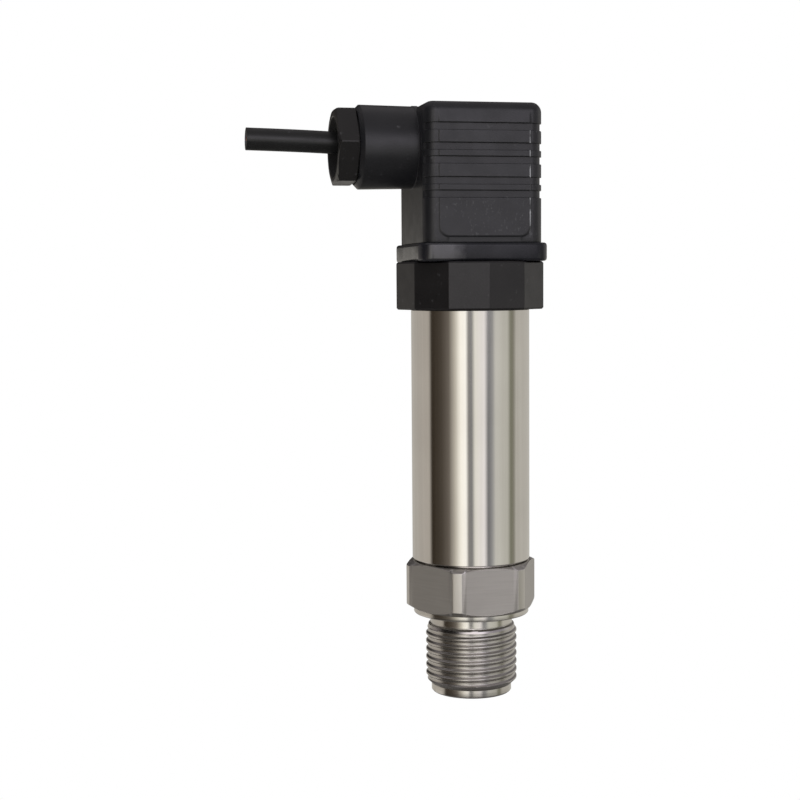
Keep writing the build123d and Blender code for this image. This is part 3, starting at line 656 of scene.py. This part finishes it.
def add_thread(bm, angles):
    """Right-hand thread: rows of points that climb one pitch in each turn."""
    top = -NECK_H
    low = -PILOT_START
    start = -THREAD_TOP + 1.5 * PITCH + PITCH * angles[0] / (2 * math.pi)
    turns = math.ceil((start - low) / PITCH) + 1
    rows = []
    for turn in range(turns + 1):
        for phase, share in THREAD_SHAPE:
            row = []
            for angle in angles:
                z = start - (turn + phase) * PITCH + PITCH * (angle - angles[0]) / (2 * math.pi)
                z = min(top, max(low, z))
                radius = thread_radius(share, z)
                place = Vector((radius * math.cos(angle), radius * math.sin(angle), z))
                row.append(bm.verts.new(place * MM))
            rows.append(row)
    per_turn = len(THREAD_SHAPE)
    last = len(angles) - 1
    faces = []
    for upper, lower in zip(rows, rows[1:]):
        for k in range(last):
            faces.append((upper[k], lower[k], lower[k + 1], upper[k + 1]))
    for i in range(per_turn, len(rows) - 1):
        faces.append((rows[i][last], rows[i + 1][last], rows[i + 1 - per_turn][0], rows[i - per_turn][0]))
    for corners in faces:
        bm.faces.new(corners).material_index = THREAD_FINISH


def finish_of(face):
    """Material number of a face: 0 off the hexagon's walls and chamfers."""
    middle = face.calc_center_median() / MM
    if not SEAL_H + RING_MARGIN < middle.z < HEX_TOP - END_MARGIN:
        return 0
    if math.hypot(middle.x, middle.y) <= SEAL_R - BORE_MARGIN:
        return 0
    around = math.degrees(math.atan2(middle.y, middle.x)) - HEX_TURN
    on_corner = abs((around + 30) % 60 - 30) < CORNER_HALF_TURN
    on_chamfer = abs(face.normal.z) > CHAMFER_SLOPE
    return BAR_FINISH if on_corner or on_chamfer else FLAT_FINISH


def make_process_connection():
    """Hexagon with turned chamfers, sealing ring, undercut, real thread, pilot and port."""
    angles = hex_angles()
    reach = [hex_reach(angle) for angle in angles]
    low_slope = HEX_LOW_CHAMFER / (BAR_R - SEAL_R)
    top_slope = HEX_TOP_CHAMFER / (BAR_R - TUBE_R)
    turns = [(math.cos(angle), math.sin(angle)) for angle in angles]
    low_edge = [(w * c, w * s, SEAL_H + (w - SEAL_R) * low_slope) for w, (c, s) in zip(reach, turns)]
    top_edge = [(w * c, w * s, HEX_TOP - (w - TUBE_R) * top_slope) for w, (c, s) in zip(reach, turns)]
    under = soften([(NECK_R, -NECK_H), (NECK_R, 0), (SEAL_R, 0), (SEAL_R, SEAL_H)], TURNED_EASE)
    over = [(TUBE_R, HEX_TOP), (SPIGOT_R, HEX_TOP), (SPIGOT_R, SPIGOT_TOP), (CAVITY_R, SPIGOT_TOP)]
    inside = [(CAVITY_R, CAVITY_FLOOR), (PORT_R, CAVITY_FLOOR), (PORT_R, -PILOT_END + PORT_MOUTH_R - PORT_R)]
    foot = soften([
        (PORT_MOUTH_R, -PILOT_END),
        (PILOT_R - PILOT_CHAMFER, -PILOT_END),
        (PILOT_R, -PILOT_END + PILOT_CHAMFER),
        (PILOT_R, -PILOT_START),
    ], TURNED_EASE)
    bm = bmesh.new()
    rings = round_rings(under, angles) + [low_edge, top_edge] + round_rings(over + inside + foot, angles)
    rows = add_rings(bm, rings, closed=False)
    low_row = rows[len(under)]
    top_row = rows[len(under) + 1]
    edges = loop_edges(bm, low_row) + loop_edges(bm, top_row)
    per_corner = 4
    for index in range(len(angles)):
        if index % (per_corner + HEX_STEPS) in (0, per_corner):
            edges.append(bm.edges.get((low_row[index], top_row[index])))
    bmesh.ops.bevel(bm, geom=edges, offset=HEX_EASE * MM, segments=2, affect="EDGES", profile=0.5)
    for face in bm.faces:
        face.material_index = finish_of(face)
    add_thread(bm, angles)
    name = "process_connection_threaded"
    piece = finish_piece(bm, name, "transmitter", ["process_connection"], turned_steel)
    for material in (milled_steel, bar_steel, thread_steel):
        piece.data.materials.append(material)


def make_tube():
    """Polished case tube with eased edges."""
    wall = soften([
        (TUBE_BORE_R, TUBE_SEAM),
        (TUBE_BORE_R, TUBE_LOW),
        (TUBE_R, TUBE_LOW),
        (TUBE_R, TUBE_TOP),
        (TUBE_BORE_R, TUBE_TOP),
        (TUBE_BORE_R, TUBE_SEAM),
    ], TUBE_EASE)
    bm = bmesh.new()
    add_rings(bm, round_rings(wall, even_angles(TUBE_SIDES)), closed=False)
    finish_piece(bm, "case_tube_polished", "transmitter", ["case_tube"], tube_steel)


def rounded_polygon(half, sides, corner_r, steps=4):
    """Columns round a polygon: x, y and the direction outwards."""
    columns = []
    inner = half - corner_r
    for side in range(sides):
        corner = math.radians(360 / sides * side)
        centre = inner / math.cos(math.pi / sides)
        cx = centre * math.cos(corner)
        cy = centre * math.sin(corner)
        for step in range(steps + 1):
            angle = corner + math.pi / sides * (2 * step / steps - 1)
            nx = math.cos(angle)
            ny = math.sin(angle)
            columns.append((cx + corner_r * nx, cy + corner_r * ny, nx, ny))
    return columns


def rounded_square(half, corner_r, places=(), corner_turns=(), flatness=0.0):
    """Columns round a square with rounded or flattened corners: x, y and the direction outwards."""
    turns = sorted({*CORNER_TURNS, *corner_turns})
    inner = half - corner_r
    columns = []
    for quarter, (sx, sy) in enumerate(((1, 1), (-1, 1), (-1, -1), (1, -1))):
        for turn in turns:
            angle = math.radians(90 * quarter + turn)
            chord = math.cos(math.radians(45)) / math.cos(math.radians(turn - 45))
            pull = 1 - flatness * (1 - chord)
            nx = pull * math.cos(angle)
            ny = pull * math.sin(angle)
            columns.append((sx * inner + corner_r * nx, sy * inner + corner_r * ny, nx, ny))
        if quarter % 2 == 0:
            run = sorted((place for place in places if abs(place) < inner), reverse=sx > 0)
            columns += [(place, sy * half, 0.0, float(sy)) for place in run]
    return columns


def inset_ring(columns, inset, z):
    """Ring of columns moved inwards; inset is a number or one number for each column."""
    if not isinstance(inset, (list, tuple)):
        inset = [inset] * len(columns)
    return [(x - nx * d, y - ny * d, z) for (x, y, nx, ny), d in zip(columns, inset)]


def circle_ring(columns, radius, z):
    """Circle with one point for each column."""
    ring = []
    for x, y, _, _ in columns:
        angle = math.atan2(y, x)
        ring.append((radius * math.cos(angle), radius * math.sin(angle), z))
    return ring


def make_collar():
    """Twelve-sided cover with eased edges, and its spigot in the tube."""
    columns = rounded_polygon(COLLAR_HALF, 12, COLLAR_CORNER_R)
    skirt = soften([
        (COLLAR_LAND, TUBE_TOP),
        (COLLAR_EDGE, TUBE_TOP),
        (0.0, TUBE_TOP + COLLAR_EDGE),
        (0.0, COLLAR_TOP - COLLAR_EDGE),
        (COLLAR_EDGE, COLLAR_TOP),
        (COLLAR_LAND, COLLAR_TOP),
    ], COLLAR_EASE)
    rings = [inset_ring(columns, inset, z) for inset, z in skirt]
    for radius, z in (
        (COLLAR_BORE_R, COLLAR_TOP),
        (COLLAR_BORE_R, COLLAR_STEP),
        (COLLAR_INNER_R, COLLAR_STEP),
        (COLLAR_INNER_R, COLLAR_SPIGOT_LOW),
        (COLLAR_SPIGOT_R, COLLAR_SPIGOT_LOW),
        (COLLAR_SPIGOT_R, TUBE_TOP),
    ):
        rings.append(circle_ring(columns, radius, z))
    bm = bmesh.new()
    add_rings(bm, rings)
    finish_piece(bm, "collar_twelve_sided", "transmitter", ["collar"], collar_black)


def bow(place):
    """How far the gasket's soft side falls back at a distance from its middle."""
    return GASKET_BOW * max(0.0, (abs(place) - GASKET_BOW_START) / GASKET_BOW_REACH) ** 2


def make_gasket():
    """Profile gasket with rounded rims, slightly bowed sides and a pocket underneath."""
    columns = []
    for x, y, nx, ny in rounded_square(GASKET_HALF, GASKET_CORNER_R, GASKET_COLUMNS):
        columns.append((x - math.copysign(bow(y), x), y - math.copysign(bow(x), y), nx, ny))
    middle = (COLLAR_TOP + GASKET_TOP) / 2
    wall = soften([
        (GASKET_LAND, COLLAR_TOP),
        (0.0, COLLAR_TOP),
        (0.0, middle),
        (0.0, GASKET_TOP),
        (GASKET_LAND, GASKET_TOP),
    ], GASKET_RIM_R, 5)
    rings = [inset_ring(columns, inset, z) for inset, z in wall]
    rings.append(circle_ring(columns, GASKET_HOLE_R, GASKET_TOP))
    rings.append(circle_ring(columns, GASKET_HOLE_R, GASKET_POCKET_TOP))
    pocket = GASKET_HALF - GASKET_POCKET_HALF
    rings.append(inset_ring(columns, pocket, GASKET_POCKET_TOP))
    rings.append(inset_ring(columns, pocket, COLLAR_TOP))
    bm = bmesh.new()
    add_rings(bm, rings)
    finish_piece(bm, "flange_gasket_profile", "transmitter", ["flange_gasket"], gasket_black)


def on_panel(x, z):
    """Share of the panel's lift at a place on the front: 1 on it, 0 beside it."""
    reach = PANEL_CORNER_R
    dx = abs(x) - (PANEL_HALF - reach)
    dz = (PANEL_LOW + reach) - z
    if dx > 0 and dz > 0:
        inside = reach - math.hypot(dx, dz)
    else:
        inside = min(PANEL_HALF - abs(x), z - PANEL_LOW)
    share = min(1.0, max(0.0, inside / PANEL_EASE))
    return share * min(1.0, max(0.0, PLUG_TOP - PLUG_TOP_R - z) / PANEL_FADE)


def plug_rows():
    """Heights of the wall's rows, with the grooves' depth at each."""
    groove_rows = []
    for low in GROOVE_LOWS:
        groove_rows += [(low + dz, depth) for dz, depth in GROOVE_EDGE]
        groove_rows += [(low + GROOVE_H - dz, depth) for dz, depth in reversed(GROOVE_EDGE)]
    low_rows = [(PANEL_LOW + step, 0.0) for step in PANEL_ROWS] + [(z, 0.0) for z in PLAIN_ROWS]
    top_rows = [(PLUG_TOP - PLUG_TOP_R - drop, 0.0) for drop in TOP_ROWS]
    return low_rows + groove_rows + top_rows


def make_plug():
    """Moulded plug housing: grooves, raised panels, spout, cavity, post and screw pocket."""
    right = [*MIDDLE_COLUMNS, *RIM_COLUMNS, LAST_COLUMN]
    right += [PANEL_HALF - PANEL_EASE * share for share in RIM_SHARES]
    places = {place for x in right for place in (-x, x)}
    wrap = math.degrees(math.asin(GROOVE_WRAP / PLUG_CORNER_R))
    ends = [wrap + turn for turn in GROOVE_END_TURNS] + [90 - wrap - turn for turn in GROOVE_END_TURNS]
    columns = rounded_square(PLUG_HALF, PLUG_CORNER_R, places, ends, PLUG_FLATNESS)
    plain = PLUG_HALF - PLUG_CORNER_R + GROOVE_WRAP
    grooved = []
    for x, y, _, _ in columns:
        runout = min(1.0, max(0.0, (abs(y) - plain) / GROOVE_RUNOUT))
        grooved.append(1.0 if x > 0 else runout)
    flat = [abs(ny) > 0.999 for _, _, _, ny in columns]
    foot = soften([(PLUG_WALL, PLUG_LOW), (0.0, PLUG_LOW), (0.0, PANEL_LOW)], PLUG_EASE)
    rings = [inset_ring(columns, inset, z) for inset, z in foot]
    for z, depth in plug_rows():
        insets = []
        for (x, _, _, _), cut, front in zip(columns, grooved, flat):
            lift = PANEL_LIFT * on_panel(x, z) if front else 0.0
            share = cut * depth / GROOVE_DEPTH
            insets.append(share * GROOVE_DEPTH - (1 - share) * lift)
        rings.append(inset_ring(columns, insets, z))
    for step in range(1, PLUG_TOP_STEPS + 1):
        angle = math.radians(90 * step / PLUG_TOP_STEPS)
        inset = PLUG_TOP_R * (1 - math.cos(angle))
        rings.append(inset_ring(columns, inset, PLUG_TOP - PLUG_TOP_R + PLUG_TOP_R * math.sin(angle)))
    inner = soften([
        (HEAD_POCKET_R + HEAD_POCKET_LAND, PLUG_TOP),
        (HEAD_POCKET_R, PLUG_TOP),
        (HEAD_POCKET_R, HEAD_POCKET_FLOOR),
        (SCREW_HOLE_R, HEAD_POCKET_FLOOR),
        (SCREW_HOLE_R, POST_LOW),
        (POST_R, POST_LOW),
        (POST_R, PLUG_ROOF),
    ], PLUG_EASE)
    rings += [circle_ring(columns, radius, z) for radius, z in inner]
    rings.append(inset_ring(columns, PLUG_WALL, PLUG_ROOF))
    bm = bmesh.new()
    add_rings(bm, rings)
    root = -PLUG_HALF
    spout = soften([
        (root + SPOUT_OVERLAP, SPOUT_ROOT_R + SPOUT_FILLET),
        (root, SPOUT_ROOT_R + SPOUT_FILLET),
        (root - SPOUT_FILLET, SPOUT_ROOT_R),
        (-SPOUT_END + SPOUT_CHAMFER, SPOUT_R),
        (-SPOUT_END, SPOUT_R - SPOUT_CHAMFER),
        (-SPOUT_END, SPOUT_BORE_R),
        (SEAL_START, SPOUT_BORE_R),
        (SEAL_START, SEAL_BORE_R),
        (SEAL_SHOULDER, SEAL_BORE_R),
        (SEAL_SHOULDER, PASSAGE_R),
        (root + SPOUT_OVERLAP, PASSAGE_R),
    ], SPOUT_EASE)
    add_rings(bm, lying_rings(spout, even_angles(SPOUT_SIDES)))
    finish_piece(bm, "plug_housing_moulded", "plug", ["plug_housing"], plug_black)


def make_gland_screw():
    """Pressure screw of the gland: hexagon with a turned chamfer, shank and flared mouth."""
    per_side = 12
    angles = []
    reach = []
    for side in range(6):
        middle = math.radians(30 + 60 * side - GLAND_HEX_TURN)
        for step in range(per_side):
            off = math.atan(math.tan(math.radians(30)) * (2 * step / per_side - 1))
            angles.append(middle + off)
            reach.append(GLAND_HEX_HALF / math.cos(off))
    corner_r = GLAND_HEX_HALF / math.cos(math.radians(30))
    slope = GLAND_FACE_CHAMFER / (corner_r - GLAND_FACE_R)
    outer = []
    inner = []
    for angle, away in zip(angles, reach):
        y = away * math.cos(angle)
        z = GLAND_Z + away * math.sin(angle)
        outer.append((GLAND_OUTER + (away - GLAND_FACE_R) * slope, y, z))
        inner.append((GLAND_INNER, y, z))
    mouth = soften([
        (GLAND_INNER, GLAND_SHANK_R),
        (GLAND_SHANK_END, GLAND_SHANK_R),
        (GLAND_SHANK_END, GLAND_BORE_R),
        (GLAND_MOUTH_END, GLAND_BORE_R),
        (GLAND_OUTER, GLAND_MOUTH_R),
        (GLAND_OUTER, GLAND_FACE_R),
    ], GLAND_TURNED_EASE)
    bm = bmesh.new()
    rows = add_rings(bm, [outer, inner] + lying_rings(mouth, angles))
    ridges = [bm.edges.get((rows[0][index], rows[1][index])) for index in range(0, len(angles), per_side)]
    rims = loop_edges(bm, rows[0]) + loop_edges(bm, rows[1]) + loop_edges(bm, rows[-1])
    bmesh.ops.bevel(bm, geom=ridges + rims, offset=GLAND_EASE * MM, segments=3, affect="EDGES", profile=0.5)
    # faces deep in the mouth get the painted shade, a darker and duller black
    for face in bm.faces:
        middle = face.calc_center_median() / MM
        away = math.hypot(middle.y, middle.z - GLAND_Z)
        if middle.x < GLAND_MOUTH_END + GLAND_SHADE_END and away < GLAND_MOUTH_R - GLAND_SHADE_RIM:
            face.material_index = 1
    name = "gland_screw_hexagon"
    piece = finish_piece(bm, name, "gland_nut", ["gland_screw"], gland_black)
    piece.data.materials.append(gland_mouth_painted_shade)


def make_cable_cut():
    """Cut end of the cable: sheath, filler and two cores with their strands."""
    end = Vector(CABLE_ROUTE[-1])
    run = (end - Vector(CABLE_ROUTE[-2])).normalized()
    side = run.cross(Vector((0, 1, 0))).normalized()
    across = Vector((0, 1, 0))
    fills = (filler, core_brown, core_blue, copper)
    bm = bmesh.new()

    def disc(middle, radius, lift, material):
        """A slightly domed disc on the cut."""
        index = 1 + fills.index(material)
        centre = end + across * middle + run * lift
        rows = []
        for share, rise in CUT_DOME:
            row = []
            for angle in even_angles(CUT_SIDES):
                outwards = across * math.cos(angle) + side * math.sin(angle)
                row.append(bm.verts.new((centre + run * rise + outwards * radius * share) * MM))
            rows.append(row)
        for upper, lower in zip(rows, rows[1:]):
            for k in range(CUT_SIDES):
                m = (k + 1) % CUT_SIDES
                bm.faces.new((upper[k], upper[m], lower[m], lower[k])).material_index = index
        bm.faces.new(rows[-1]).material_index = index

    disc(0.0, FILLER_R, 0.0, filler)
    for middle, core in zip(CORE_PLACES, (core_brown, core_blue)):
        disc(middle, CORE_R, CORE_LIFT, core)
        disc(middle, STRANDS_R, STRANDS_LIFT, copper)
    piece = finish_piece(bm, "cable_cut_end", "plug", [], cable_black)
    for material in fills:
        piece.data.materials.append(material)
    return piece


# Studio: what polished metal and plastic reflect, by degrees round from the camera's side, to the right

LOW_STRIPS = (          # level with the part and below
    (-180, (0.52, 0.50, 0.46)),
    (-88, (0.52, 0.48, 0.43)),
    (-81, (0.04, 0.03, 0.02)),
    (-58, (0.085, 0.07, 0.055)),
    (-42, (0.19, 0.165, 0.14)),
    (-30, (0.66, 0.62, 0.54)),
    (-20, (1.25, 1.21, 1.10)),
    (-9, (1.42, 1.39, 1.32)),
    (-4, (0.34, 0.33, 0.32)),
    (3, (0.28, 0.28, 0.28)),
    (8, (1.00, 0.98, 0.90)),
    (27, (1.10, 1.06, 1.06)),
    (34, (0.24, 0.24, 0.25)),
    (43, (0.40, 0.40, 0.40)),
    (50, (0.74, 0.73, 0.68)),
    (78, (0.60, 0.59, 0.53)),
    (84, (0.24, 0.24, 0.18)),
    (92, (0.26, 0.25, 0.20)),
    (100, (0.60, 0.58, 0.53)),
    (180, (0.56, 0.54, 0.50)),
)
HIGH_STRIPS = (         # above the camera
    (-180, (0.04, 0.036, 0.034)),
    (-140, (0.06, 0.055, 0.05)),
    (-112, (0.30, 0.27, 0.28)),
    (-92, (0.10, 0.09, 0.095)),
    (-82, (0.0, 0.0, 0.0)),
    (-34, (0.0, 0.0, 0.0)),
    (-12, (1.7, 1.6, 1.65)),
    (34, (1.7, 1.62, 1.80)),
    (44, (0.50, 0.46, 0.52)),
    (90, (0.36, 0.34, 0.38)),
    (112, (0.78, 0.76, 0.76)),
    (135, (0.36, 0.34, 0.34)),
    (180, (0.10, 0.09, 0.085)),
)
GROUND_STRIPS = (       # the far part of the ground
    (-180, (0.20, 0.19, 0.18)),
    (-140, (0.20, 0.19, 0.18)),
    (-128, (1.0, 0.95, 0.90)),
    (-98, (1.0, 0.95, 0.90)),
    (-86, (0.05, 0.045, 0.04)),
    (-50, (0.06, 0.055, 0.05)),
    (-20, (0.14, 0.135, 0.13)),
    (60, (0.14, 0.135, 0.13)),
    (100, (0.20, 0.19, 0.18)),
    (180, (0.20, 0.19, 0.18)),
)
HIGH_LEVELS = (         # share of the high strips, by height from 0.5 at the horizon to 1 overhead
    (0.50, (0.95, 0.95, 0.95)),
    (0.60, (1.10, 1.10, 1.10)),
    (0.68, (0.85, 0.85, 0.85)),
    (0.78, (0.30, 0.30, 0.30)),
)
NEAR_GROUND = (0.15, 0.145, 0.14)
ROOF = (0.34, 0.32, 0.33)
PLAIN_LIGHT = (0.75, 0.75, 0.75)
WHITE = (1.0, 1.0, 1.0)

# Heights, as the upward part of the direction, between which one zone fades into the next
GROUND_FADE = (-0.60, -0.46)
LOW_FADE = (-0.40, -0.29)
HIGH_FADE = (0.024, 0.036)
ROOF_FADE = (0.45, 0.80)

FLOOR_HALF = 6.0        # metres, as are the height of the floor and the places of the lamps
FLOOR_Z = -0.25
LAMPS_AIM = (0, 0, 0.05)


def make_world():
    """White to the camera, plain light to dull faces, strips of a small studio in reflections."""
    world = bpy.data.worlds.new("studio")
    scene.world = world
    world.use_nodes = True
    tree = world.node_tree
    coordinates = tree.nodes.new("ShaderNodeTexCoord")

    def along(direction):
        """Part of the looked-at direction that points along another one."""
        node = tree.nodes.new("ShaderNodeVectorMath")
        node.operation = "DOT_PRODUCT"
        node.inputs[1].default_value = direction
        tree.links.new(coordinates.outputs["Generated"], node.inputs[0])
        return node.outputs["Value"]

    turn = math.radians(VIEW_TURN)
    right = along((math.cos(turn), -math.sin(turn), 0.0))
    towards = along((-math.sin(turn), -math.cos(turn), 0.0))
    height = along((0.0, 0.0, 1.0))
    azimuth = spread(tree, calculate(tree, "ARCTAN2", right, towards), 0.0, 1.0, -math.pi, math.pi)

    def strips(rows):
        """Colours round the part from rows of degrees and colour."""
        return colours(tree, azimuth, *((0.5 + degrees / 360, colour) for degrees, colour in rows))

    def rising(ends):
        """0 below a band of heights, 1 above it."""
        return spread(tree, height, 0.0, 1.0, *ends)

    ground = blend(tree, "MIX", rising(GROUND_FADE), NEAR_GROUND, strips(GROUND_STRIPS))
    low = blend(tree, "MIX", rising(LOW_FADE), ground, strips(LOW_STRIPS))
    levels = colours(tree, rising((-1.0, 1.0)), *HIGH_LEVELS)
    high = blend(tree, "MULTIPLY", None, strips(HIGH_STRIPS), levels)
    upper = blend(tree, "MIX", rising(ROOF_FADE), high, ROOF)
    reflected = blend(tree, "MIX", rising(HIGH_FADE), low, upper)
    path = tree.nodes.new("ShaderNodeLightPath")
    light = blend(tree, "MIX", path.outputs["Is Glossy Ray"], PLAIN_LIGHT, reflected)
    seen = blend(tree, "MIX", path.outputs["Is Camera Ray"], light, WHITE)
    shown = blend(tree, "MIX", path.outputs["Is Transmission Ray"], seen, WHITE)
    tree.links.new(shown, tree.nodes["Background"].inputs["Color"])


def make_lamp(name, place, size, power):
    """Soft square lamp that looks at the middle of the part."""
    data = bpy.data.lights.new(name, "AREA")
    data.size = size
    data.energy = power
    lamp = bpy.data.objects.new(name, data)
    scene.collection.objects.link(lamp)
    lamp.location = place
    lamp.rotation_euler = (Vector(LAMPS_AIM) - Vector(place)).to_track_quat("-Z", "Y").to_euler()
    lamp.visible_glossy = False


def make_floor():
    """Pale floor, white to the camera."""
    bm = bmesh.new()
    bmesh.ops.create_grid(bm, x_segments=1, y_segments=1, size=FLOOR_HALF)
    mesh = bpy.data.meshes.new("floor")
    bm.to_mesh(mesh)
    bm.free()
    floor = bpy.data.objects.new("floor", mesh)
    floor.location.z = FLOOR_Z
    scene.collection.objects.link(floor)
    material, tree, bsdf = start_material("floor_white", (0.8, 0.8, 0.8), 0.9)
    shine = tree.nodes.new("ShaderNodeEmission")
    mix = tree.nodes.new("ShaderNodeMixShader")
    path = tree.nodes.new("ShaderNodeLightPath")
    tree.links.new(path.outputs["Is Camera Ray"], mix.inputs[0])
    tree.links.new(bsdf.outputs[0], mix.inputs[1])
    tree.links.new(shine.outputs[0], mix.inputs[2])
    tree.links.new(mix.outputs[0], tree.nodes["Material Output"].inputs["Surface"])
    mesh.materials.append(material)
    floor.visible_glossy = False


make_process_connection()
make_tube()
make_collar()
make_gasket()
make_plug()
make_gland_screw()
cut_end = make_cable_cut()
cable_stub.data.materials.append(cable_black)
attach(cable_stub, "plug")
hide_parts("cable")
make_world()
make_lamp("key", (-0.5, -1.3, 1.0), size=0.9, power=8.0)
make_lamp("fill", (1.1, -0.8, 0.6), size=0.9, power=5.0)
make_floor()
